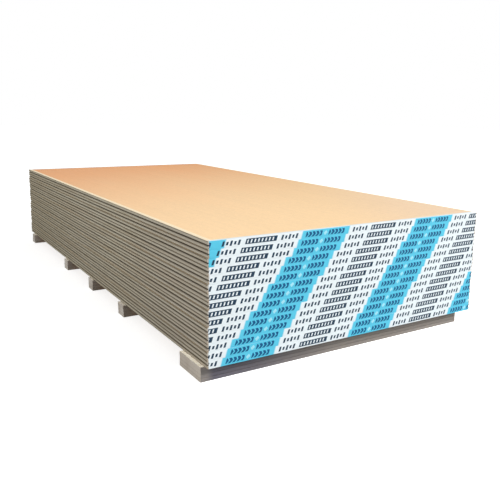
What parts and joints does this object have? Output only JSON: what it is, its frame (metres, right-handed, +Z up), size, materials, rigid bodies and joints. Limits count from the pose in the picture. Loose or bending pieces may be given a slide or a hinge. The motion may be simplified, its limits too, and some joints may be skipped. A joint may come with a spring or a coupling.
{
  "type": "stack of drywall sheets",
  "caption": "Stack of tapered-edge drywall sheets in face-to-face pairs, each pair held by a printed paper tape at its ends, lying on risers glued up from board strips.",
  "frame": {"origin": "on the floor, under the middle of the stack of sheets", "axes": "+Z up; Y runs along the sheets, with the printed end that shows at -Y; X runs across them, and the risers poke out a little at -X"},
  "size_m": [1.2321, 2.4408, 0.4574],
  "materials": {
    "board_paper": "matte",
    "end_tape": "satin",
    "riser_strips": "matte"
  },
  "bodies": {
    "root": {"sheet_01": "board_paper", "sheet_02": "board_paper", "sheet_03": "board_paper", "sheet_04": "board_paper", "sheet_05": "board_paper", "sheet_06": "board_paper", "sheet_07": "board_paper", "sheet_08": "board_paper", "sheet_09": "board_paper", "sheet_10": "board_paper", "sheet_11": "board_paper", "sheet_12": "board_paper", "sheet_13": "board_paper", "sheet_14": "board_paper", "sheet_15": "board_paper", "sheet_16": "board_paper", "sheet_17": "board_paper", "sheet_18": "board_paper", "sheet_19": "board_paper", "sheet_20": "board_paper", "sheet_21": "board_paper", "sheet_22": "board_paper", "sheet_23": "board_paper", "sheet_24": "board_paper", "sheet_25": "board_paper", "sheet_26": "board_paper", "sheet_27": "board_paper", "sheet_28": "board_paper", "sheet_29": "board_paper", "sheet_30": "board_paper", "front_tape_01": "end_tape", "front_tape_02": "end_tape", "front_tape_03": "end_tape", "front_tape_04": "end_tape", "front_tape_05": "end_tape", "front_tape_06": "end_tape", "front_tape_07": "end_tape", "front_tape_08": "end_tape", "front_tape_09": "end_tape", "front_tape_10": "end_tape", "front_tape_11": "end_tape", "front_tape_12": "end_tape", "front_tape_13": "end_tape", "front_tape_14": "end_tape", "front_tape_15": "end_tape", "rear_tapes": "end_tape", "riser_1": "riser_strips", "riser_2": "riser_strips", "riser_3": "riser_strips", "riser_4": "riser_strips", "riser_5": "riser_strips"}
  },
  "joints": []
}
